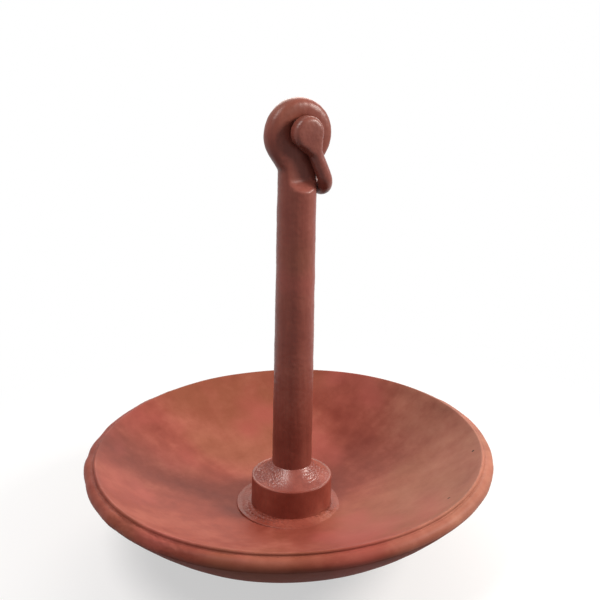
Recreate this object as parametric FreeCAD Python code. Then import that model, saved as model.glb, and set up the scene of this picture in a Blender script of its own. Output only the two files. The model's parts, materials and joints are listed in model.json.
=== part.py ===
import FreeCAD, Part
import math
import os

# Mushroom anchor: a thick cast dish, a boss welded on its middle, a round shank with a
# forged eye, and a D-shackle hanging in the eye. Millimetres, +Z up. The origin is on
# the ground, at the middle of the small flat that the dish stands on. The shackle's pin
# lies along Y and the shackle hangs on the +X side.

V = FreeCAD.Vector

# Dish, round about Z
dish_diameter = 640.0         # over the rim bead
underside_radius = 430.0      # ball-shaped underside
foot_flat_diameter = 120.0    # flat that the anchor stands on
rim_bead_diameter = 22.0      # round bead along the rim
crest_setback = 17.0          # from the outer edge in to the crest of the lip
crest_rise = 4.5              # crest above the top of the bead
lip_round = 2.5
groove_round = 1.5            # hollow between the lip and the bead
bowl_depth = 107.0            # from the crest down to the middle of the bowl

# The boss and the shank were welded on a little off square, towards the shackle's side
lean_deg = 1.9

# Boss, heights from the middle of the bowl
boss_height = 55.5
boss_diameter = 128.0
boss_edge_round = 2.0
bore_clearance = 0.25         # round the shank, on the radius

# Weld beads
foot_weld_leg = 21.0          # reach of the weld over the bowl
foot_weld_height = 5.5        # over the bowl where it is fattest
foot_weld_fat_place = 8.0     # the fattest place, from the boss's wall
foot_weld_wall_height = 5.5   # up the boss's wall
neck_weld_land = 3.0          # flat left at the edge of the boss
neck_weld_height = 22.0
neck_weld_hollow = 1.5        # the middle of its side lies this much inside a straight cone
weld_root = 8.0               # the welds are made this far into what they join, then cut to it

# Shank
shank_foot_diameter = 64.0
shank_top_diameter = 58.5     # just under the head
eye_height = 602.0            # centre of the eye's round over the middle of the bowl

# Head with the eye, forged flat from the bar
eye_diameter = 110.0
eye_thickness = 30.0
eye_edge_round = 12.5
hole_diameter = 32.0
hole_rise = 9.4               # the hole lies a little above the middle of the round
hole_edge_round = 7.0
neck_angle_deg = 36.0         # sides of the neck, from the shank's axis
flat_length = 67.0            # from the eye's centre down to the end of the flats
runout_length = 15.0          # slope from the flats out to the round bar
bar_top_share = 0.75          # the bar ends in the head, this share of the eye's radius under its centre

# D-shackle
shackle_bar_diameter = 22.0
pin_diameter = 25.0
jaw_width = 36.0
lug_diameter = 50.0
lug_edge_round = 7.5
shackle_length = 97.0         # from the pin's axis to the middle of the bar at the crown
lug_taper_length = 32.0       # from the pin's axis to where the leg is round
taper_edge_round = 9.0
side_slip = 2.5               # the shackle lies this far towards +Y in the eye
pin_gap = 0.1                 # under the pin, in the hole
shank_gap = 0.5               # between the hanging crown and the shank
pin_hole_clearance = 0.4      # in the far lug, on the radius
pin_chamfer = 0.5
collar_diameter = 38.0
collar_thickness = 7.0
tab_width = 30.0
tab_thickness = 11.0
tab_length = 32.0             # from the collar to the end of the tab
tab_hole_diameter = 12.0

root_depth = 10.0             # the boss and shank are made this much too deep, then cut to the bowl
cut_margin = 1.0              # what cuts or is cut away runs this far past a face
close = 0.01                  # two places nearer than this are the same
settle_rounds = 40            # rounds in which the shackle's hanging angle settles

# Heights and places that follow
bead_radius = rim_bead_diameter / 2
bead_place = dish_diameter / 2 - bead_radius
ball_height = math.sqrt(underside_radius ** 2 - (foot_flat_diameter / 2) ** 2)
bead_height = ball_height - math.sqrt((underside_radius - bead_radius) ** 2 - bead_place ** 2)
crest_place = dish_diameter / 2 - crest_setback
crest_height = bead_height + bead_radius + crest_rise
bowl_bottom = crest_height - bowl_depth
bowl_radius = (crest_place ** 2 + bowl_depth ** 2) / (2 * bowl_depth) - lip_round

bar_radius = shackle_bar_diameter / 2
pin_radius = pin_diameter / 2
pin_height = eye_height + hole_rise - (hole_diameter - pin_diameter) / 2 + pin_gap
leg_place = jaw_width / 2 + bar_radius
lug_face = jaw_width / 2 + shackle_bar_diameter


def turned(outline):
    """A solid turned about the Z axis from a closed outline of edges in the XZ plane."""
    face = Part.Face(Part.Wire(Part.__sortEdges__(outline)))
    return face.revolve(V(0, 0, 0), V(0, 0, 1), 360)


def line(a, b):
    return Part.LineSegment(a, b).toShape()


def arc(a, middle, b):
    return Part.Arc(a, middle, b).toShape()


def point_on(centre, radius, towards):
    """The point at this radius from centre, in the direction of another point."""
    return centre + (towards - centre).normalize() * radius


def arc_about(centre, radius, a, b):
    """The short arc from a to b about centre."""
    halfway = (a - centre).normalize() + (b - centre).normalize()
    return arc(a, centre + halfway.normalize() * radius, b)


def in_bowl(shape):
    """What of a shape lies over the bowl's surface."""
    centre = V(0, 0, bowl_bottom + bowl_radius)
    return shape.common(Part.makeSphere(bowl_radius, centre)).Solids[0]


def bowl_rise(place):
    """Height of the bowl's surface over its middle, at a distance from the axis."""
    return bowl_radius - math.sqrt(bowl_radius ** 2 - place ** 2)


def leaning(shape):
    """Sets a piece that was made upright from the bowl's middle on the leaning axis."""
    placed = shape.copy()
    placed.translate(V(0, 0, bowl_bottom))
    placed.rotate(V(0, 0, bowl_bottom), V(0, 1, 0), lean_deg)
    return placed


def make_dish():
    ball_centre = V(0, 0, ball_height)
    bowl_centre = V(0, 0, bowl_bottom + bowl_radius)
    bead_centre = V(bead_place, 0, bead_height)
    lip_centre = V(crest_place, 0, crest_height - lip_round)
    # The groove's circle touches both the lip's and the bead's
    apart = bead_centre - lip_centre
    to_lip = lip_round + groove_round
    to_bead = bead_radius + groove_round
    along = (to_lip ** 2 - to_bead ** 2 + apart.Length ** 2) / (2 * apart.Length)
    across = math.sqrt(to_lip ** 2 - along ** 2)
    unit = apart / apart.Length
    groove_centre = lip_centre + unit * along + V(-unit.z, 0, unit.x) * across

    middle = V(0, 0, 0)
    flat_edge = V(foot_flat_diameter / 2, 0, 0)
    bead_low = point_on(ball_centre, underside_radius, bead_centre)
    bead_high = point_on(bead_centre, bead_radius, groove_centre)
    groove_end = point_on(lip_centre, lip_round, groove_centre)
    lip_in = point_on(lip_centre, lip_round, bowl_centre)
    bowl_middle = V(0, 0, bowl_bottom)
    outline = [
        line(middle, flat_edge),
        arc_about(ball_centre, underside_radius, flat_edge, bead_low),
        arc(bead_low, bead_centre + V(bead_radius, 0, 0), bead_high),
        arc_about(groove_centre, groove_round, bead_high, groove_end),
        arc(groove_end, lip_centre + V(0, 0, lip_round), lip_in),
        arc_about(bowl_centre, bowl_radius, lip_in, bowl_middle),
        line(bowl_middle, middle),
    ]
    return turned(outline)


def boss_block():
    """The boss without its bore, reaching down into the dish."""
    block = Part.makeCylinder(boss_diameter / 2, boss_height + root_depth, V(0, 0, -root_depth))
    top_edge = [e for e in block.Edges if e.BoundBox.ZMin > boss_height - close]
    return block.makeFillet(boss_edge_round, top_edge).Solids[0]


def make_boss():
    bore_radius = shank_foot_diameter / 2 + bore_clearance
    bore_length = root_depth + boss_height + 2 * cut_margin
    bore = Part.makeCylinder(bore_radius, bore_length, V(0, 0, -root_depth - cut_margin))
    return in_bowl(leaning(boss_block().cut(bore)))


def make_foot_weld():
    wall = boss_diameter / 2
    toe = wall + foot_weld_leg
    fat = wall + foot_weld_fat_place
    inner_low = V(wall - weld_root, 0, 0)
    inner_high = V(wall - weld_root, 0, bowl_rise(wall) + foot_weld_wall_height - cut_margin)
    wall_high = V(wall - cut_margin, 0, bowl_rise(wall) + foot_weld_wall_height)
    crown = V(fat, 0, bowl_rise(fat) + foot_weld_height)
    toe_point = V(toe, 0, bowl_rise(toe))
    toe_low = V(toe, 0, 0)
    outline = [
        line(inner_low, inner_high),
        line(inner_high, wall_high),
        arc(wall_high, crown, toe_point),
        line(toe_point, toe_low),
        line(toe_low, inner_low),
    ]
    return in_bowl(leaning(turned(outline).cut(boss_block())))


def shank_bar():
    """The round bar, from below the bowl's surface up into the head."""
    top = eye_height - flat_length
    slope = (shank_foot_diameter - shank_top_diameter) / 2 / top
    above = flat_length - eye_diameter / 2 * bar_top_share
    low = shank_foot_diameter / 2
    high = shank_top_diameter / 2 - slope * above
    foot = Part.makeCylinder(low, bowl_rise(low) + root_depth, V(0, 0, -root_depth))
    start = bowl_rise(low)
    return foot.fuse(Part.makeCone(low, high, top + above - start, V(0, 0, start)))


def flats_cut():
    """What is taken off both sides of the bar: the flats and their sloping run-outs."""
    half = eye_thickness / 2
    out = shank_foot_diameter
    low = eye_height - flat_length - runout_length
    end = eye_height - flat_length
    slope = (shank_top_diameter / 2 - half) / runout_length
    reach = low - (out - shank_top_diameter / 2) / slope
    top = eye_height
    corners = [V(-out, half, end), V(-out, out, reach), V(-out, out, top), V(-out, half, top)]
    wedge = Part.Face(Part.makePolygon(corners + corners[:1])).extrude(V(2 * out, 0, 0))
    other = wedge.mirror(V(0, 0, 0), V(0, 1, 0))
    return wedge.fuse(other)


def eye_plate():
    """The flat round with its neck, before it joins the bar."""
    radius = eye_diameter / 2
    angle = math.radians(neck_angle_deg)
    half = eye_thickness / 2
    centre = V(0, -half, eye_height)
    side = V(radius * math.cos(angle), -half, eye_height - radius * math.sin(angle))
    inside = shank_top_diameter / 2 - eye_edge_round / 2
    neck = V(inside, -half, side.z - (side.x - inside) / math.tan(angle))

    def other(point):
        return V(-point.x, point.y, point.z)

    outline = [
        arc(side, centre + V(0, 0, radius), other(side)),
        line(other(side), other(neck)),
        line(other(neck), neck),
        line(neck, side),
    ]
    plate = Part.Face(Part.Wire(outline)).extrude(V(0, eye_thickness, 0))
    rims = [e for e in plate.Edges if e.BoundBox.YLength < close and e.BoundBox.ZMax > neck.z + close]
    plate = plate.makeFillet(eye_edge_round, rims)
    hole_centre = V(0, -eye_thickness, eye_height + hole_rise)
    hole = Part.makeCylinder(hole_diameter / 2, 2 * eye_thickness, hole_centre, V(0, 1, 0))
    plate = plate.cut(hole)
    hole_edges = [
        e for e in plate.Edges
        if hasattr(e.Curve, "Radius") and abs(e.Curve.Radius - hole_diameter / 2) < close
        and e.BoundBox.YLength < close
    ]
    return plate.makeFillet(hole_edge_round, hole_edges)


def shank_blank():
    return shank_bar().cut(flats_cut()).fuse(eye_plate()).removeSplitter()


def make_neck_weld():
    outside = boss_diameter / 2 - neck_weld_land
    base = boss_height
    top = boss_height + neck_weld_height
    shank_radius = shank_foot_diameter / 2
    foot = V(outside, 0, base)
    middle = V((outside + shank_radius) / 2, 0, base + neck_weld_height / 2)
    hollow = middle - V(neck_weld_hollow, 0, neck_weld_hollow)
    high = V(shank_radius - cut_margin, 0, top)
    inner_high = V(shank_radius - weld_root, 0, top)
    inner_low = V(shank_radius - weld_root, 0, base)
    outline = [
        arc(foot, hollow, high),
        line(high, inner_high),
        line(inner_high, inner_low),
        line(inner_low, foot),
    ]
    return leaning(turned(outline).cut(shank_bar()))


def hang_angle():
    """Turn of the shackle from straight down to where its crown meets the shank."""
    drop = shackle_length
    for _ in range(settle_rounds):
        below = eye_height - flat_length - (pin_height - drop)
        slope = (shank_foot_diameter - shank_top_diameter) / 2 / (eye_height - flat_length)
        out = shank_top_diameter / 2 + slope * max(below, 0) + bar_radius + shank_gap
        drop = math.sqrt(shackle_length ** 2 - out ** 2)
    return math.degrees(math.asin(out / shackle_length))


def hanging(shape):
    """Sets a piece of the shackle, made about its pin with the legs down, in the eye."""
    placed = shape.copy()
    placed.rotate(V(0, 0, 0), V(0, 1, 0), -hang_angle())
    placed.translate(V(0, side_slip, pin_height))
    return leaning(placed)


def lug_with_leg(side):
    """One lug with its taper and straight leg, on the side where Y has this sign."""
    y = side * leg_place
    near = y - bar_radius
    lug = Part.makeCylinder(lug_diameter / 2, shackle_bar_diameter, V(0, near, 0), V(0, 1, 0))
    lug = lug.makeFillet(lug_edge_round, [e for e in lug.Edges if e.BoundBox.YLength < close])
    leg_end = shackle_length - leg_place
    angle = math.atan2(lug_diameter / 2 - bar_radius, lug_taper_length)
    wide = V(lug_diameter / 2 * math.cos(angle), near, -lug_diameter / 2 * math.sin(angle))
    slim = V(bar_radius, near, -lug_taper_length)
    corners = [wide, V(-wide.x, near, wide.z), V(-slim.x, near, slim.z), slim]
    taper = Part.Face(Part.makePolygon(corners + corners[:1])).extrude(V(0, shackle_bar_diameter, 0))
    sides = [
        e for e in taper.Edges
        if e.BoundBox.YLength < close and e.BoundBox.ZLength > close
    ]
    taper = taper.makeFillet(taper_edge_round, sides)
    leg = Part.makeCylinder(bar_radius, leg_end - lug_taper_length / 2, V(0, y, -leg_end))
    return lug.fuse(taper).fuse(leg)


def make_bow():
    leg_end = shackle_length - leg_place
    crown = Part.makeTorus(leg_place, bar_radius, V(0, 0, -leg_end), V(1, 0, 0))
    reach = 2 * shackle_length
    below = Part.makeBox(reach, reach, reach, V(-reach / 2, -reach / 2, -leg_end - reach))
    bow = crown.common(below).fuse([lug_with_leg(-1), lug_with_leg(1)]).removeSplitter()
    start = V(0, -lug_face - cut_margin, 0)
    near_hole = Part.makeCylinder(pin_radius, lug_face + cut_margin, start, V(0, 1, 0))
    far_radius = pin_radius + pin_hole_clearance
    far_hole = Part.makeCylinder(far_radius, lug_face + cut_margin, V(0, 0, 0), V(0, 1, 0))
    return hanging(bow.cut(near_hole).cut(far_hole))


def make_pin():
    """Screw pin: flush in the near lug, collar and flat tab beyond the far one."""
    shaft = Part.makeCylinder(pin_radius, 2 * lug_face, V(0, -lug_face, 0), V(0, 1, 0))
    near_edge = [e for e in shaft.Edges if e.BoundBox.YMax < -lug_face + close]
    shaft = shaft.makeChamfer(pin_chamfer, near_edge)
    collar = Part.makeCylinder(collar_diameter / 2, collar_thickness, V(0, lug_face, 0), V(0, 1, 0))
    start = lug_face + collar_thickness / 2
    tab_end = lug_face + collar_thickness + tab_length
    eye_place = tab_end - tab_width / 2
    low = V(-tab_thickness / 2, start, -tab_width / 2)
    tab = Part.makeBox(tab_thickness, eye_place - start, tab_width, low)
    face = V(-tab_thickness / 2, eye_place, 0)
    end = Part.makeCylinder(tab_width / 2, tab_thickness, face, V(1, 0, 0))
    past = face - V(cut_margin, 0, 0)
    hole_length = tab_thickness + 2 * cut_margin
    hole = Part.makeCylinder(tab_hole_diameter / 2, hole_length, past, V(1, 0, 0))
    return hanging(shaft.fuse([collar, tab, end]).removeSplitter().cut(hole))


def main():
    pieces = {
        "dish": make_dish(),
        "boss": make_boss(),
        "boss_foot_weld": make_foot_weld(),
        "shank": in_bowl(leaning(shank_blank())),
        "shank_neck_weld": make_neck_weld(),
        "shackle_bow": make_bow(),
        "shackle_pin": make_pin(),
    }
    os.makedirs("parts", exist_ok=True)
    for name, shape in pieces.items():
        solid = shape.Solids[0] if len(shape.Solids) == 1 else shape
        box = solid.BoundBox
        print(name, len(shape.Solids), "solid", solid.isValid(), round(solid.Volume),
              [round(v, 1) for v in (box.XMin, box.YMin, box.ZMin, box.XMax, box.YMax, box.ZMax)])
        solid.exportStep("parts/%s.step" % name)
    pin = leaning(Part.Vertex(0, side_slip, pin_height)).Point
    print("pin axis through", [round(v, 4) for v in (pin.x, pin.y, pin.z)], "hang", round(hang_angle(), 4))
    print("crest", round(crest_height, 3), "bowl", round(bowl_bottom, 3), "bowl radius", round(bowl_radius, 3))


main()
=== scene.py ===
import json
import math
import bpy
import numpy as np
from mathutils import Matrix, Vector, noise


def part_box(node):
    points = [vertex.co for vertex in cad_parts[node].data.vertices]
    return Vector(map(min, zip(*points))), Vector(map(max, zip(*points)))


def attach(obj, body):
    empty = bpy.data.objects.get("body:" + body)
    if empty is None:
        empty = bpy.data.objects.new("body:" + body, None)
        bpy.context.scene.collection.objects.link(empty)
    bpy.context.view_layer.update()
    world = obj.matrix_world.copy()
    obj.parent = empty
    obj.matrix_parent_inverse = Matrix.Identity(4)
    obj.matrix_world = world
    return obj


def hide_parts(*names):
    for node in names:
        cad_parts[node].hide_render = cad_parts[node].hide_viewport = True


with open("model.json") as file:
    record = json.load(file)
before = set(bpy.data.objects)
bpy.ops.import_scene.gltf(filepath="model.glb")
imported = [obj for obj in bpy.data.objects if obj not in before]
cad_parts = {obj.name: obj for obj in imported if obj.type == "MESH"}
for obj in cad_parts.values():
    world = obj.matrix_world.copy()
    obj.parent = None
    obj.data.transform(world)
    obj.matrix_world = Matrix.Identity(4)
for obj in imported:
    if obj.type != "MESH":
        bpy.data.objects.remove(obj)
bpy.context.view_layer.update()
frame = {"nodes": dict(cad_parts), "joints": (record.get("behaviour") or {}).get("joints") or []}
print("frame loaded:", ", ".join(sorted(frame["nodes"])))

# Metres throughout. The dish is turned about Z, the shackle's pin lies along Y.

picture = {"size": 600, "focal": 992.9, "centreX": 335.0, "centreY": 246.0}  # pixels
cameraStand = {
    "sensor": 36,           # millimetres
    "near": 0.05,
    "ahead": 1.4346,        # from the dish's axis back to the lens
    "aside": 0.0711,        # and this far to the lens's right
    "height": 0.8912,
    "azimuth": -32.8,       # degrees, as a view from the front turned about Z
    "pitch": 15.772,        # degrees down
}


def setCamera():
    turn = math.radians(cameraStand["azimuth"])
    ahead = Vector((-math.sin(turn), math.cos(turn), 0))
    right = Vector((math.cos(turn), math.sin(turn), 0))
    place = right * cameraStand["aside"] - ahead * cameraStand["ahead"]
    place.z = cameraStand["height"]
    bpy.ops.object.camera_add(location=place)
    camera = bpy.context.object
    camera.name = "photoCamera"
    camera.data.sensor_width = cameraStand["sensor"]
    camera.data.lens = cameraStand["sensor"] * picture["focal"] / picture["size"]
    camera.data.shift_x = (picture["size"] / 2 - picture["centreX"]) / picture["size"]
    camera.data.shift_y = (picture["centreY"] - picture["size"] / 2) / picture["size"]
    camera.data.clip_start = cameraStand["near"]
    tilt = math.radians(90 - cameraStand["pitch"])
    camera.rotation_euler = (tilt, 0, turn)
    bpy.context.scene.camera = camera
    print("camera set at", [round(v, 3) for v in place])


# Small helpers

def letGo():
    if bpy.context.object and bpy.context.object.mode != "OBJECT":
        bpy.ops.object.mode_set(mode="OBJECT")
    bpy.ops.object.select_all(action="DESELECT")


def pickUp(piece):
    letGo()
    piece.select_set(True)
    bpy.context.view_layer.objects.active = piece


def keepModifiers(piece):
    pickUp(piece)
    for modifier in list(piece.modifiers):
        bpy.ops.object.modifier_apply(modifier=modifier.name)


def joinUp(piece, gap=0.00002):
    pickUp(piece)
    bpy.ops.object.mode_set(mode="EDIT")
    bpy.ops.mesh.select_all(action="SELECT")
    bpy.ops.mesh.remove_doubles(threshold=gap)
    bpy.ops.mesh.normals_make_consistent(inside=False)
    bpy.ops.object.mode_set(mode="OBJECT")
    bpy.ops.object.shade_smooth()


def setDown(piece, height, lean):
    pickUp(piece)
    piece.rotation_euler = (0, lean, 0)
    piece.location = (0, 0, height)
    bpy.ops.object.transform_apply(location=True, rotation=True, scale=True)


def readPoints(piece, what="co"):
    flat = np.empty(len(piece.data.vertices) * 3, dtype=np.float32)
    piece.data.vertices.foreach_get(what, flat)
    return flat.reshape(-1, 3).astype(float)


def pushOut(piece, distance):
    places = readPoints(piece) + readPoints(piece, "normal") * distance[:, None]
    piece.data.vertices.foreach_set("co", places.astype(np.float32).ravel())
    piece.data.update()


def grain(places, size, seed=0.0):
    shift = Vector((seed, seed * 1.7, -seed))
    return np.array([noise.noise(Vector(p) / size + shift) for p in places])


def around(places):
    return np.degrees(np.arctan2(places[:, 1], places[:, 0])) % 360


# 1 at an angle round the dish, falling to 0 past the spread
def patch(angles, middle, spread):
    apart = np.abs((angles - middle + 180) % 360 - 180)
    return np.clip(1.5 - apart / spread, 0, 1)


# The share of a weld's roughness round it: at its left, right and back, and elsewhere
def roughSides(weld, angles, shares):
    amounts = [
        share * patch(angles, weld[side], weld[side + "Spread"])
        for side, share in zip(("left", "right", "back"), shares)]
    return np.maximum(np.maximum.reduce(amounts), shares[3])


# Turned shapes: one vertex is drawn out along an outline, then spun about Z

def arcSteps(centre, start, end, steps, bulge):
    first = math.atan2(start[1] - centre[1], start[0] - centre[0])
    last = math.atan2(end[1] - centre[1], end[0] - centre[0])
    while bulge * (last - first) < 0:
        last += bulge * 2 * math.pi
    radius = math.dist(centre, start)
    angles = [first + (last - first) * (i + 1) / steps for i in range(steps)]
    return [(centre[0] + radius * math.cos(a), centre[1] + radius * math.sin(a)) for a in angles]


def towards(centre, radius, point):
    share = radius / math.dist(centre, point)
    return (centre[0] + (point[0] - centre[0]) * share, centre[1] + (point[1] - centre[1]) * share)


def spinOutline(name, outline, turns):
    letGo()
    bpy.ops.mesh.primitive_plane_add(size=0.01)
    piece = bpy.context.object
    piece.name = name
    piece.data.name = name
    bpy.ops.object.mode_set(mode="EDIT")
    bpy.ops.mesh.merge(type="CENTER")
    bpy.ops.transform.translate(value=(outline[0][0], 0, outline[0][1]))
    for a, b in zip(outline, outline[1:]):
        step = (b[0] - a[0], 0, b[1] - a[1])
        bpy.ops.mesh.extrude_region_move(TRANSFORM_OT_translate={"value": step})
    bpy.ops.mesh.select_all(action="SELECT")
    bpy.ops.mesh.spin(steps=turns, angle=2 * math.pi, center=(0, 0, 0), axis=(0, 0, 1))
    bpy.ops.object.mode_set(mode="OBJECT")
    joinUp(piece)
    return piece


# Dish

dish = {
    "outerRadius": 0.320, "ballRadius": 0.430, "footRadius": 0.060, "beadRadius": 0.011,
    "crestSetback": 0.017, "crestRise": 0.0045, "lipRadius": 0.0025, "grooveRadius": 0.0015,
    "bowlDepth": 0.107, "turns": 720,
    "undersideSteps": 14, "beadSteps": 28, "grooveSteps": 5, "lipSteps": 8, "bowlSteps": 44,
    "swell": 0.0007, "swellSize": 0.11,          # slow unevenness of the casting
    "lump": 0.0022, "lumpSize": 0.034,           # lumps on the bead
    "pit": 0.0009, "pitSize": 0.0050,
    "lumpLeast": 0.30, "lumpy": ((178, 42, 1.0), (60, 60, 0.6)),     # degrees, spread, share
    "pitLeast": 0.04,
    "pitted": ((193, 7, 1.0), (209, 8, 0.9), (165, 16, 0.35), (318, 14, 0.30), (60, 60, 0.4)),
    "footKeep": 0.01,           # the casting is even where it stands
    "paintedShadeBelow": 0.004,         # the underside's painted shade, a darker copy of the primer, starts this far below the bead's middle
}
dish["ballHeight"] = math.sqrt(dish["ballRadius"] ** 2 - dish["footRadius"] ** 2)
dish["beadPlace"] = dish["outerRadius"] - dish["beadRadius"]
dish["beadHeight"] = dish["ballHeight"] - math.sqrt(
    (dish["ballRadius"] - dish["beadRadius"]) ** 2 - dish["beadPlace"] ** 2)
dish["crestPlace"] = dish["outerRadius"] - dish["crestSetback"]
dish["crestHeight"] = dish["beadHeight"] + dish["beadRadius"] + dish["crestRise"]
dish["bowlBottom"] = dish["crestHeight"] - dish["bowlDepth"]
dish["bowlRadius"] = (
    (dish["crestPlace"] ** 2 + dish["bowlDepth"] ** 2) / (2 * dish["bowlDepth"]) - dish["lipRadius"])
lean = math.radians(1.9)    # the boss and the shank lean towards +X


def bowlRise(place):
    return dish["bowlRadius"] - math.sqrt(dish["bowlRadius"] ** 2 - place ** 2)


def makeDish():
    ball = (0, dish["ballHeight"])
    bowl = (0, dish["bowlBottom"] + dish["bowlRadius"])
    bead = (dish["beadPlace"], dish["beadHeight"])
    lip = (dish["crestPlace"], dish["crestHeight"] - dish["lipRadius"])
    toLip = dish["lipRadius"] + dish["grooveRadius"]
    toBead = dish["beadRadius"] + dish["grooveRadius"]
    apart = math.dist(bead, lip)
    along = (toLip ** 2 - toBead ** 2 + apart ** 2) / (2 * apart)
    across = math.sqrt(toLip ** 2 - along ** 2)
    unit = ((bead[0] - lip[0]) / apart, (bead[1] - lip[1]) / apart)
    groove = (lip[0] + unit[0] * along - unit[1] * across, lip[1] + unit[1] * along + unit[0] * across)

    footEdge = (dish["footRadius"], 0)
    beadLow = towards(ball, dish["ballRadius"], bead)
    beadHigh = towards(bead, dish["beadRadius"], groove)
    grooveEnd = towards(lip, dish["lipRadius"], groove)
    lipIn = towards(lip, dish["lipRadius"], bowl)
    bottom = (0, dish["bowlBottom"])
    outline = [(0, 0), (dish["footRadius"] / 2, 0), footEdge]
    outline += arcSteps(ball, footEdge, beadLow, dish["undersideSteps"], 1)
    outline += arcSteps(bead, beadLow, beadHigh, dish["beadSteps"], 1)
    outline += arcSteps(groove, beadHigh, grooveEnd, dish["grooveSteps"], -1)
    outline += arcSteps(lip, grooveEnd, lipIn, dish["lipSteps"], 1)
    outline += arcSteps(bowl, lipIn, bottom, dish["bowlSteps"], -1)
    piece = spinOutline("castDish", outline, dish["turns"])

    places = readPoints(piece)
    angles = around(places)
    out = np.hypot(places[:, 0], places[:, 1])
    onBead = np.clip((out - dish["crestPlace"] - 0.001) / 0.004, 0, 1)
    onBead *= np.clip((places[:, 2] - dish["beadHeight"] + 0.009) / 0.006, 0, 1)
    lumpy = np.maximum.reduce([share * patch(angles, at, wide) for at, wide, share in dish["lumpy"]])
    lumpy = dish["lumpLeast"] + (1 - dish["lumpLeast"]) * lumpy
    rough = np.maximum.reduce([share * patch(angles, at, wide) for at, wide, share in dish["pitted"]])
    rough += dish["pitLeast"]
    lumps = grain(places, dish["lumpSize"], 3.0) * dish["lump"] * lumpy
    pits = grain(places, dish["pitSize"], 8.0) * dish["pit"] * rough
    swell = grain(places, dish["swellSize"], 5.0) * dish["swell"]
    keepFoot = np.clip(places[:, 2] / dish["footKeep"], 0, 1)
    pushOut(piece, (lumps + pits) * onBead + swell * keepFoot)
    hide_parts("dish")
    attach(piece, "anchor")
    print("dish:", len(piece.data.polygons), "faces")
    return piece


# Boss

boss = {
    "radius": 0.064, "height": 0.0555, "edge": 0.002, "turns": 256,
    "bottom": 0.002, "hidden": 0.030, "topBreak": 0.050, "wallSteps": 12, "edgeSteps": 6,
    "dent": 0.0005, "dentSize": 0.030,
}


def makeBoss():
    edge = (boss["radius"] - boss["edge"], boss["height"] - boss["edge"])
    low = (boss["radius"], boss["bottom"])
    high = (boss["radius"], edge[1])
    top = (edge[0], boss["height"])
    inner = (boss["hidden"], boss["bottom"])
    steps = boss["wallSteps"]
    outline = [inner, low]
    outline += [(boss["radius"], low[1] + (high[1] - low[1]) * (i + 1) / steps) for i in range(steps)]
    outline += arcSteps(edge, high, top, boss["edgeSteps"], 1)
    outline += [(boss["topBreak"], boss["height"]), (boss["hidden"], boss["height"]), inner]
    piece = spinOutline("boss", outline, boss["turns"])
    places = readPoints(piece)
    pushOut(piece, grain(places, boss["dentSize"], 2.0) * boss["dent"])
    setDown(piece, dish["bowlBottom"], lean)
    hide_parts("boss")
    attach(piece, "anchor")
    print("boss:", len(piece.data.polygons), "faces")
    return piece


# Weld round the boss's foot

footWeld = {
    "leg": 0.023, "fat": 1.6, "height": 0.0058, "root": 0.004, "turns": 600, "steps": 44,
    "sunk": 0.0003, "toeDepth": 0.003, "toeFade": 0.012, "weave": 0.035,
    "pass": 0.0085, "ridge": 0.0010, "ripple": 0.0003, "rippleLength": 0.007, "rippleBend": 0.004,
    "lump": 0.0022, "lumpSize": 0.012, "pit": 0.0007, "pitSize": 0.0032,
    "left": 196, "leftSpread": 34, "right": 292, "rightSpread": 22, "back": 60, "backSpread": 60,
    "lineShares": (1.0, 0.4, 0.8, 0.08), "lumpShares": (0.7, 1.0, 0.6, 0.10),
    "pitShares": (0.5, 1.0, 0.5, 0.10),
}


# Points after a along the circle through three points
def arcThrough(a, middle, b, steps):
    ax, ay = middle[0] - a[0], middle[1] - a[1]
    bx, by = b[0] - a[0], b[1] - a[1]
    cross = 2 * (ax * by - ay * bx)
    ux = (by * (ax * ax + ay * ay) - ay * (bx * bx + by * by)) / cross
    uy = (ax * (bx * bx + by * by) - bx * (ax * ax + ay * ay)) / cross
    return arcSteps((a[0] + ux, a[1] + uy), a, b, steps, 1 if cross > 0 else -1)


def makeFootWeld():
    wall = boss["radius"]
    toe = wall + footWeld["leg"]
    inner = wall - footWeld["root"]
    outline = [(toe + 0.001, bowlRise(toe) - footWeld["toeDepth"])]
    for i in range(footWeld["steps"] + 1):
        share = 1 - i / footWeld["steps"]           # 1 at the toe, 0 at the wall
        place = wall + footWeld["leg"] * share
        rise = footWeld["height"] * (1 - share) ** 2 * (1 + footWeld["fat"] * share)
        outline.append((place, bowlRise(place) + rise - footWeld["sunk"]))
    high = outline[-1][1]
    outline += [(inner, high - 0.001), (inner, bowlRise(inner) - 0.001), outline[0]]
    piece = spinOutline("footWeld", outline, footWeld["turns"])
    places = readPoints(piece)
    angles = around(places)
    out = np.hypot(places[:, 0], places[:, 1])
    wavy = grain(places, footWeld["weave"], 1.0)
    passes = np.abs(np.sin(math.pi * (out - wall) / footWeld["pass"] + 1.6 * wavy)) - 0.6
    along = np.radians(angles) * wall / footWeld["rippleLength"]
    ripples = np.sin(2 * math.pi * along + 2.5 * np.sin((out - wall) / footWeld["rippleBend"]) + 5 * wavy)
    lines = passes * footWeld["ridge"] + ripples * footWeld["ripple"]
    lumps = grain(places, footWeld["lumpSize"], 6.0) * footWeld["lump"]
    pits = grain(places, footWeld["pitSize"], 9.0) * footWeld["pit"]
    bump = lines * roughSides(footWeld, angles, footWeld["lineShares"])
    bump += lumps * roughSides(footWeld, angles, footWeld["lumpShares"])
    bump += pits * roughSides(footWeld, angles, footWeld["pitShares"])
    free = np.clip((out - wall + 0.0005) / 0.001, 0, 1)
    free *= np.clip((toe + 0.001 - out) / footWeld["toeFade"], 0, 1)
    pushOut(piece, bump * free)
    setDown(piece, dish["bowlBottom"], lean)
    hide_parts("boss_foot_weld")
    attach(piece, "anchor")
    print("foot weld:", len(piece.data.polygons), "faces")
    return piece


# Weld round the shank, on the boss

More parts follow.
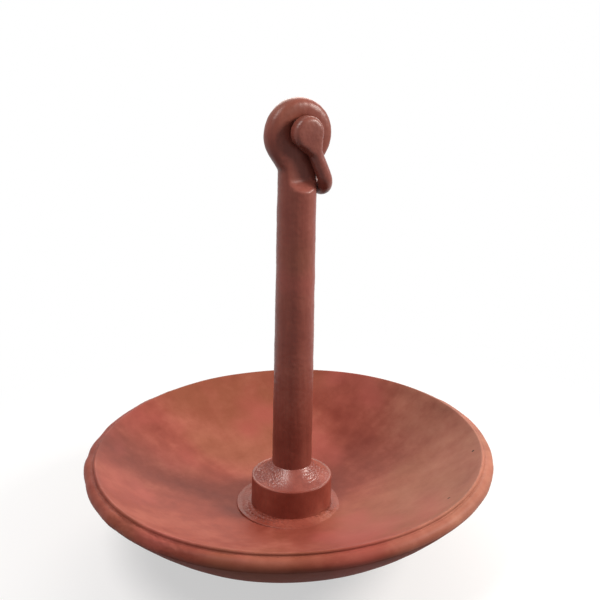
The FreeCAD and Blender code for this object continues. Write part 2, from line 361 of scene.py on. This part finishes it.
neckWeld = {
    "land": 0.003, "height": 0.022, "hollow": 0.0015, "shankRadius": 0.032, "root": 0.003,
    "turns": 640, "steps": 40, "weave": 0.022, "pass": 0.0042, "ridge": 0.0013,
    "stipple": 0.0011, "stippleSize": 0.0024,
    "lump": 0.0009, "lumpSize": 0.010, "nick": 0.0007, "nickSize": 0.0016, "nickFlat": 2.2,
    "breakSize": 0.007, "reach": 0.020,
    "left": 165, "leftSpread": 46, "right": 306, "rightSpread": 30, "back": 50, "backSpread": 40,
    "ridgeShares": (0.0, 1.0, 0.5, 0.0), "stippleShares": (1.0, 0.25, 0.3, 0.04),
    "nickShares": (0.4, 0.8, 0.3, 0.03), "lumpShares": (0.8, 0.5, 0.5, 0.2),
}


def makeNeckWeld():
    outside = boss["radius"] - neckWeld["land"]
    base = boss["height"]
    top = base + neckWeld["height"]
    shank = neckWeld["shankRadius"]
    foot = (outside, base - 0.0004)
    high = (shank - 0.0008, top)
    hollow = neckWeld["hollow"]
    middle = ((outside + shank) / 2 - hollow, base + neckWeld["height"] / 2 - hollow)
    inner = shank - neckWeld["root"]
    outline = [(outside - 0.002, base - 0.002), foot]
    outline += arcThrough(foot, middle, high, neckWeld["steps"])
    outline += [(inner, top - 0.001), (inner, base - 0.002), outline[0]]
    piece = spinOutline("neckWeld", outline, neckWeld["turns"])
    places = readPoints(piece)
    angles = around(places)
    out = np.hypot(places[:, 0], places[:, 1])
    rise = places[:, 2] - base
    wavy = grain(places, neckWeld["weave"], 4.0)
    broken = np.clip(0.6 + 1.6 * grain(places, neckWeld["breakSize"], 5.0), 0, 1)
    near = np.clip((neckWeld["reach"] - (out - shank)) / 0.006, 0.12, 1)
    ridges = np.abs(np.sin(math.pi * (out - shank) / neckWeld["pass"] + 3.4 * wavy)) - 0.6
    ridges = ridges * broken * near
    stipple = grain(places, neckWeld["stippleSize"], 7.0) * neckWeld["stipple"]
    flattened = places * np.array([1, 1, neckWeld["nickFlat"]])
    nicks = grain(flattened, neckWeld["nickSize"], 3.0) * neckWeld["nick"]
    lumps = grain(places, neckWeld["lumpSize"], 2.0) * neckWeld["lump"]
    bump = ridges * neckWeld["ridge"] * roughSides(neckWeld, angles, neckWeld["ridgeShares"])
    bump += stipple * roughSides(neckWeld, angles, neckWeld["stippleShares"])
    bump += nicks * roughSides(neckWeld, angles, neckWeld["nickShares"])
    bump += lumps * roughSides(neckWeld, angles, neckWeld["lumpShares"])
    free = np.clip((out - shank) / 0.002, 0, 1) * np.clip(rise / 0.002, 0, 1)
    pushOut(piece, bump * free)
    setDown(piece, dish["bowlBottom"], lean)
    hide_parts("shank_neck_weld")
    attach(piece, "anchor")
    print("neck weld:", len(piece.data.polygons), "faces")
    return piece


# Forged pieces: the solid's own skin, its edges softened and its faces left a little uneven

forged = {
    "shank": {
        "name": "forgedShank", "body": "anchor", "slot": "bar_primer", "voxel": 0.0017,
        "soften": 10, "wave": 0.0006, "waveSize": 0.030, "pock": 0.00025, "pockSize": 0.006,
        "softAbove": 0.575, "softMore": 36,             # the head is softer than the bar
    },
    "shackle_bow": {
        "name": "shackleBow", "body": "shackle", "slot": "shackle_primer", "voxel": 0.0009,
        "soften": 28, "wave": 0.0003, "waveSize": 0.018, "pock": 0.00016, "pockSize": 0.004,
        "paintedOver": "shackle_pin",                   # its flush end shows no seam under the paint
    },
    "shackle_pin": {
        "name": "shacklePin", "body": "shackle", "slot": "shackle_primer", "voxel": 0.0008,
        "soften": 5, "wave": 0.0002, "waveSize": 0.014, "pock": 0.0001, "pockSize": 0.004,
        "endUnderPaint": 0.0012,
    },
}


skin = {"join": 0.00001, "smoothing": 0.5}
pinAt = frame["joints"][0]["pos_m"]
lug = {
    "axisX": pinAt[0], "axisZ": pinAt[2], "radius": 0.025, "dome": 0.0015,
    "face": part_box("shackle_bow")[0][1], "middle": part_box("shackle_bow")[0][1] + 0.011,
    "pinReach": 0.003, "domeReach": 0.006,      # how far in from the lug's face each change goes
}


def makeForged(node):
    look = forged[node]
    letGo()
    mesh = frame["nodes"][node].data.copy()
    mesh.materials.clear()
    mesh.name = look["name"]
    piece = bpy.data.objects.new(look["name"], mesh)
    bpy.context.scene.collection.objects.link(piece)
    if "paintedOver" in look:
        other = bpy.data.objects.new("flushEnd", frame["nodes"][look["paintedOver"]].data.copy())
        bpy.context.scene.collection.objects.link(other)
        pickUp(other)
        bpy.ops.object.mode_set(mode="EDIT")
        bpy.ops.mesh.select_all(action="SELECT")
        bpy.ops.mesh.remove_doubles(threshold=skin["join"])
        bpy.ops.mesh.bisect(
            plane_co=(0, lug["middle"], 0), plane_no=(0, 1, 0), use_fill=True, clear_outer=True)
        bpy.ops.object.mode_set(mode="OBJECT")
        pickUp(piece)
        other.select_set(True)
        bpy.ops.object.join()
        piece.data.materials.clear()
    joinUp(piece, skin["join"])
    remesh = piece.modifiers.new("skin", "REMESH")
    remesh.mode = "VOXEL"
    remesh.voxel_size = look["voxel"]
    remesh.use_smooth_shade = True
    soften = piece.modifiers.new("soften", "SMOOTH")
    soften.factor = skin["smoothing"]
    soften.iterations = look["soften"]
    keepModifiers(piece)
    if "softMore" in look:
        group = piece.vertex_groups.new(name="head")
        above = [v.index for v in piece.data.vertices if v.co.z > look["softAbove"]]
        group.add(above, 1.0, "REPLACE")
        more = piece.modifiers.new("softHead", "SMOOTH")
        more.factor = skin["smoothing"]
        more.iterations = look["softMore"]
        more.vertex_group = "head"
        keepModifiers(piece)
        piece.vertex_groups.clear()
    places = readPoints(piece)
    wave = grain(places, look["waveSize"], 1.0) * look["wave"]
    pock = grain(places, look["pockSize"], 5.0) * look["pock"]
    pushOut(piece, wave + pock)
    if "endUnderPaint" in look:
        places = readPoints(piece)
        places[places[:, 1] < lug["face"] + lug["pinReach"], 1] += look["endUnderPaint"]
        piece.data.vertices.foreach_set("co", places.astype(np.float32).ravel())
    if "paintedOver" in look:
        places = readPoints(piece)
        out = np.hypot(places[:, 0] - lug["axisX"], places[:, 2] - lug["axisZ"])
        dome = np.clip(1 - (out / lug["radius"]) ** 2, 0, 1) * lug["dome"]
        places[:, 1] -= dome * (places[:, 1] < lug["face"] + lug["domeReach"])
        piece.data.vertices.foreach_set("co", places.astype(np.float32).ravel())
    pickUp(piece)
    bpy.ops.object.shade_smooth()
    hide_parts(node)
    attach(piece, look["body"])
    print(look["name"] + ":", len(piece.data.polygons), "faces")
    return piece


# Red oxide primer, brushed on

paint = {
    "deep": (0.145, 0.024, 0.014), "mid": (0.225, 0.052, 0.034), "pale": (0.345, 0.108, 0.074),
    "olive": (0.205, 0.076, 0.034), "rose": (0.320, 0.072, 0.058), "chip": (0.012, 0.010, 0.009),
    "brown": (0.110, 0.040, 0.034),
    "paintedSheen": (0.400, 0.190, 0.125), "paintedSheenWay": (0.84, -0.54, 0.0),   # the side of the bowl paled by painted sheen, standing in for a reflection of the light behind
    "paintedSheenFrom": 0.10, "paintedSheenTo": 0.30, "paintedSheenMost": 0.45, "paintedSheenRagged": 0.22, "paintedSheenScale": 7.0,
    "blotchScale": 8.0, "mottleScale": 60.0, "grainScale": 420.0, "warmScale": 5, "coolScale": (7, -6, 8),
    "blotchShare": 0.55, "strokeShare": 0.30, "mottleShare": 0.15,
    "deepAt": 0.32, "midAt": 0.5, "paleAt": 0.70, "warmMost": 0.45, "coolMost": 0.55,
    "bumpHeight": 0.001,
    "speckWide": 0.0022,        # radius of a chip in the paint
    "specks": ((0.2412, -0.1617), (0.1339, -0.2343)),   # in the bowl, seen from above
}


# stroke is how close the brush strokes lie along x, y and z
finishes = {
    "brushed": {
        # this primer carries the painted sheen on one side of the bowl
        "stroke": (26, 26, 26), "strokeBump": 0.34, "grainBump": 0.14, "roughness": 0.50, "specular": 0.11,
        "withPaintedSheen": True, "chips": paint["specks"],
    },
    # painted shade: the same primer made darker and duller for the dish's downward faces, which stand in
    # shade
    "underside": {
        "stroke": (26, 26, 26), "strokeBump": 0.30, "grainBump": 0.20, "roughness": 0.60, "specular": 0.04,
        "brown": 0.30,
    },
    "bar": {
        "stroke": (90, 90, 6), "strokeBump": 0.16, "grainBump": 0.08, "roughness": 0.36, "specular": 0.24,
        "brown": 0.36,
    },
    "boss": {
        "stroke": (26, 26, 26), "strokeBump": 0.30, "grainBump": 0.14, "roughness": 0.40, "specular": 0.20,
        "brown": 0.08,
    },
    "weld": {
        "stroke": (60, 60, 60), "strokeBump": 0.30, "grainBump": 0.25, "roughness": 0.30, "specular": 0.45,
    },
    "footWeld": {
        "stroke": (26, 26, 26), "strokeBump": 0.34, "grainBump": 0.20, "roughness": 0.42, "specular": 0.20,
    },
    "shackle": {
        "stroke": (60, 60, 60), "strokeBump": 0.15, "grainBump": 0.10, "roughness": 0.34, "specular": 0.28,
        "brown": 0.46,
    },
}


# brown darkens and dulls the red, the painted sheen pales one side of the bowl as a reflection would, chips
# are bare spots
def primer(name, stroke, strokeBump, grainBump, roughness, specular, brown=0.0, withPaintedSheen=False, chips=()):
    material = bpy.data.materials.new(name)
    material.use_nodes = True
    tree = material.node_tree
    nodes, links = tree.nodes, tree.links
    nodes.clear()
    output = nodes.new("ShaderNodeOutputMaterial")
    shader = nodes.new("ShaderNodeBsdfPrincipled")
    links.new(shader.outputs["BSDF"], output.inputs["Surface"])
    place = nodes.new("ShaderNodeTexCoord").outputs["Object"]

    def mapped(scale):
        node = nodes.new("ShaderNodeMapping")
        node.inputs["Scale"].default_value = scale
        links.new(place, node.inputs["Vector"])
        return node.outputs["Vector"]

    def cloud(vector, scale, detail=3.0, rough=0.55):
        node = nodes.new("ShaderNodeTexNoise")
        node.inputs["Scale"].default_value = scale
        node.inputs["Detail"].default_value = detail
        node.inputs["Roughness"].default_value = rough
        links.new(vector, node.inputs["Vector"])
        return node.outputs["Fac"]

    def sums(operation, a, b):
        node = nodes.new("ShaderNodeMath")
        node.operation = operation
        for socket, value in zip(node.inputs, (a, b)):
            if isinstance(value, (int, float)):
                socket.default_value = value
            else:
                links.new(value, socket)
        return node.outputs[0]

    def tint(fac, a, b):
        node = nodes.new("ShaderNodeMix")
        node.data_type = "RGBA"
        links.new(fac, node.inputs["Factor"])
        for socket, value in ((node.inputs["A"], a), (node.inputs["B"], b)):
            if isinstance(value, tuple):
                socket.default_value = (*value, 1)
            else:
                links.new(value, socket)
        return node.outputs["Result"]

    def between(value, low, high):
        node = nodes.new("ShaderNodeMapRange")
        node.interpolation_type = "SMOOTHSTEP"
        node.inputs["From Min"].default_value = low
        node.inputs["From Max"].default_value = high
        links.new(value, node.inputs["Value"])
        return node.outputs["Result"]

    strokes = cloud(mapped(stroke), 1.0, 4.0, 0.6)
    blotches = cloud(place, paint["blotchScale"], 4.0, 0.5)
    mottle = cloud(place, paint["mottleScale"], 3.0)
    tone = sums("MULTIPLY", blotches, paint["blotchShare"])
    tone = sums("ADD", tone, sums("MULTIPLY", strokes, paint["strokeShare"]))
    tone = sums("ADD", tone, sums("MULTIPLY", mottle, paint["mottleShare"]))
    ramp = nodes.new("ShaderNodeValToRGB")
    ramp.color_ramp.elements[0].position = paint["deepAt"]
    ramp.color_ramp.elements[0].color = (*paint["deep"], 1)
    ramp.color_ramp.elements[1].position = paint["paleAt"]
    ramp.color_ramp.elements[1].color = (*paint["pale"], 1)
    middle = ramp.color_ramp.elements.new(paint["midAt"])
    middle.color = (*paint["mid"], 1)
    links.new(tone, ramp.inputs["Fac"])
    warm = between(cloud(mapped((paint["warmScale"],) * 3), 1.0, 2.0), 0.50, 0.68)
    warm = sums("MULTIPLY", warm, paint["warmMost"])
    cool = between(cloud(mapped(paint["coolScale"]), 1.0, 2.0), 0.52, 0.70)
    cool = sums("MULTIPLY", cool, paint["coolMost"])
    colour = tint(cool, tint(warm, ramp.outputs["Color"], paint["olive"]), paint["rose"])
    if brown:
        dull = nodes.new("ShaderNodeMix")
        dull.data_type = "RGBA"
        dull.inputs["Factor"].default_value = brown
        links.new(colour, dull.inputs["A"])
        dull.inputs["B"].default_value = (*paint["brown"], 1)
        colour = dull.outputs["Result"]
    # painted sheen: one side of the bowl is paled towards beige, standing in for the glossy reflection of the
    # light behind
    if withPaintedSheen:
        way = nodes.new("ShaderNodeVectorMath")
        way.operation = "DOT_PRODUCT"
        links.new(place, way.inputs[0])
        way.inputs[1].default_value = paint["paintedSheenWay"]
        sheenEdgeNoise = sums("MULTIPLY", cloud(place, paint["paintedSheenScale"], 5.0), paint["paintedSheenRagged"])
        sheenAmount = sums("ADD", way.outputs["Value"], sheenEdgeNoise)
        middling = paint["paintedSheenRagged"] / 2
        sheenAmount = between(sheenAmount, paint["paintedSheenFrom"] + middling, paint["paintedSheenTo"] + middling)
        sheenAmount = sums("MULTIPLY", sheenAmount, sums("ADD", sums("MULTIPLY", strokes, 0.8), paint["paintedSheenMost"] - 0.4))
        colour = tint(sheenAmount, colour, paint["paintedSheen"])
    for x, y in chips:
        spot = nodes.new("ShaderNodeVectorMath")
        spot.operation = "DISTANCE"
        flat = nodes.new("ShaderNodeVectorMath")
        flat.operation = "MULTIPLY"
        flat.inputs[1].default_value = (1, 1, 0)
        links.new(place, flat.inputs[0])
        links.new(flat.outputs["Vector"], spot.inputs[0])
        spot.inputs[1].default_value = (x, y, 0)
        ragged = sums("ADD", spot.outputs["Value"], sums("MULTIPLY", mottle, 0.004))
        bare = between(ragged, paint["speckWide"] + 0.0026, paint["speckWide"] + 0.0016)
        colour = tint(bare, colour, paint["chip"])
    links.new(colour, shader.inputs["Base Color"])

    gloss = sums("ADD", roughness - 0.12, sums("MULTIPLY", tone, 0.26))
    links.new(gloss, shader.inputs["Roughness"])
    shader.inputs["Specular IOR Level"].default_value = specular

    fine = cloud(place, paint["grainScale"], 2.0)
    heights = sums("ADD", sums("MULTIPLY", strokes, strokeBump), sums("MULTIPLY", fine, grainBump))
    bump = nodes.new("ShaderNodeBump")
    bump.inputs["Distance"].default_value = paint["bumpHeight"]
    bump.inputs["Strength"].default_value = 1.0
    links.new(heights, bump.inputs["Height"])
    links.new(bump.outputs["Normal"], shader.inputs["Normal"])
    return material


def wear(piece, material):
    piece.data.materials.clear()
    piece.data.materials.append(material)


# Floor, lamps and sky

studio = {
    "floorGrey": 0.16,          # the floor as the lamps' light meets it
    "shadeNear": 0.30, "shadeFar": 0.85,    # the seen shadow ends between these distances
    "shadeGrey": 0.9, "shadeLeast": 0.55,
    "sky": 0.20, "floorSize": 14, "lampAim": 0.22,
}


def seenRays(nodes, links):
    path = nodes.new("ShaderNodeLightPath")
    through = nodes.new("ShaderNodeMath")
    through.operation = "MAXIMUM"
    links.new(path.outputs["Is Glossy Ray"], through.inputs[0])
    links.new(path.outputs["Is Transmission Ray"], through.inputs[1])
    seen = nodes.new("ShaderNodeMath")
    seen.operation = "MAXIMUM"
    links.new(path.outputs["Is Camera Ray"], seen.inputs[0])
    links.new(through.outputs[0], seen.inputs[1])
    return seen.outputs[0]


def makeFloor():
    letGo()
    bpy.ops.mesh.primitive_plane_add(size=studio["floorSize"])
    floor = bpy.context.object
    floor.name = "floor"
    material = bpy.data.materials.new("paleFloor")
    material.use_nodes = True
    nodes, links = material.node_tree.nodes, material.node_tree.links
    nodes.clear()
    output = nodes.new("ShaderNodeOutputMaterial")
    dim = nodes.new("ShaderNodeBsdfDiffuse")
    dim.inputs["Color"].default_value = (studio["floorGrey"],) * 3 + (1,)
    white = nodes.new("ShaderNodeEmission")
    pale = nodes.new("ShaderNodeBsdfDiffuse")
    pale.inputs["Color"].default_value = (studio["shadeGrey"],) * 3 + (1,)
    place = nodes.new("ShaderNodeTexCoord")
    away = nodes.new("ShaderNodeVectorMath")
    away.operation = "LENGTH"
    links.new(place.outputs["Object"], away.inputs[0])
    fade = nodes.new("ShaderNodeMapRange")
    fade.interpolation_type = "SMOOTHSTEP"
    fade.inputs["From Min"].default_value = studio["shadeNear"]
    fade.inputs["From Max"].default_value = studio["shadeFar"]
    fade.inputs["To Min"].default_value = studio["shadeLeast"]
    fade.inputs["To Max"].default_value = 1.0
    links.new(away.outputs["Value"], fade.inputs["Value"])
    shown = nodes.new("ShaderNodeMixShader")
    links.new(fade.outputs["Result"], shown.inputs["Fac"])
    links.new(pale.outputs[0], shown.inputs[1])
    links.new(white.outputs[0], shown.inputs[2])
    mix = nodes.new("ShaderNodeMixShader")
    links.new(seenRays(nodes, links), mix.inputs["Fac"])
    links.new(dim.outputs[0], mix.inputs[1])
    links.new(shown.outputs[0], mix.inputs[2])
    links.new(mix.outputs[0], output.inputs["Surface"])
    floor.data.materials.append(material)


def makeSky():
    world = bpy.data.worlds.new("studioWhite")
    bpy.context.scene.world = world
    world.use_nodes = True
    nodes, links = world.node_tree.nodes, world.node_tree.links
    nodes.clear()
    output = nodes.new("ShaderNodeOutputWorld")
    dim = nodes.new("ShaderNodeBackground")
    dim.inputs["Strength"].default_value = studio["sky"]
    white = nodes.new("ShaderNodeBackground")
    white.inputs["Color"].default_value = (1, 1, 1, 1)
    white.inputs["Strength"].default_value = 1.0
    dim.inputs["Color"].default_value = (1, 1, 1, 1)
    mix = nodes.new("ShaderNodeMixShader")
    links.new(seenRays(nodes, links), mix.inputs["Fac"])
    links.new(dim.outputs[0], mix.inputs[1])
    links.new(white.outputs[0], mix.inputs[2])
    links.new(mix.outputs[0], output.inputs["Surface"])


# Each lamp: degrees clockwise from the camera's own direction, seen from above, and degrees up
lamps = {
    "keyRight": {"turn": 88, "up": 30, "away": 2.2, "size": 0.9, "power": 64, "colour": (1.0, 0.92, 0.86)},
    "fillLeft": {"turn": -50, "up": 60, "away": 2.4, "size": 1.2, "power": 40, "colour": (1.0, 0.95, 0.93)},
    "backWindow": {"turn": 178, "up": 30, "away": 2.6, "size": 2.2, "power": 40, "colour": (1.0, 0.90, 0.82)},
}


def makeLamps():
    aim = Vector((0, 0, studio["lampAim"]))
    for name, lamp in lamps.items():
        turn = math.radians(cameraStand["azimuth"] + lamp["turn"])
        up = math.radians(lamp["up"])
        way = Vector((math.sin(turn) * math.cos(up), -math.cos(turn) * math.cos(up), math.sin(up)))
        letGo()
        bpy.ops.object.light_add(type="AREA", location=aim + way * lamp["away"])
        light = bpy.context.object
        light.name = name
        light.data.shape = "DISK"
        light.data.size = lamp["size"]
        light.data.energy = lamp["power"]
        light.data.color = lamp["colour"]
        light.rotation_euler = (-way).to_track_quat("-Z", "Y").to_euler()


setCamera()
brushed = primer("brushedPrimer", **finishes["brushed"])
underside = primer("undersidePrimer", **finishes["underside"])
barPaint = primer("barPrimer", **finishes["bar"])
bossPaint = primer("bossPrimer", **finishes["boss"])
weldPaint = primer("weldPrimer", **finishes["weld"])
footPaint = primer("footWeldPrimer", **finishes["footWeld"])
shacklePaint = primer("shacklePrimer", **finishes["shackle"])
castDish = makeDish()
wear(castDish, brushed)
# painted shade: faces below the bead that face down take the darker underside copy of the primer
castDish.data.materials.append(underside)
for face in castDish.data.polygons:
    if face.center.z < dish["beadHeight"] - dish["paintedShadeBelow"] and face.normal.z < 0:
        face.material_index = 1
wear(makeBoss(), bossPaint)
wear(makeFootWeld(), footPaint)
wear(makeNeckWeld(), weldPaint)
wear(makeForged("shank"), barPaint)
wear(makeForged("shackle_bow"), shacklePaint)
wear(makeForged("shackle_pin"), shacklePaint)
makeFloor()
makeSky()
makeLamps()

scene = bpy.context.scene
scene.view_settings.view_transform = "Standard"
letGo()
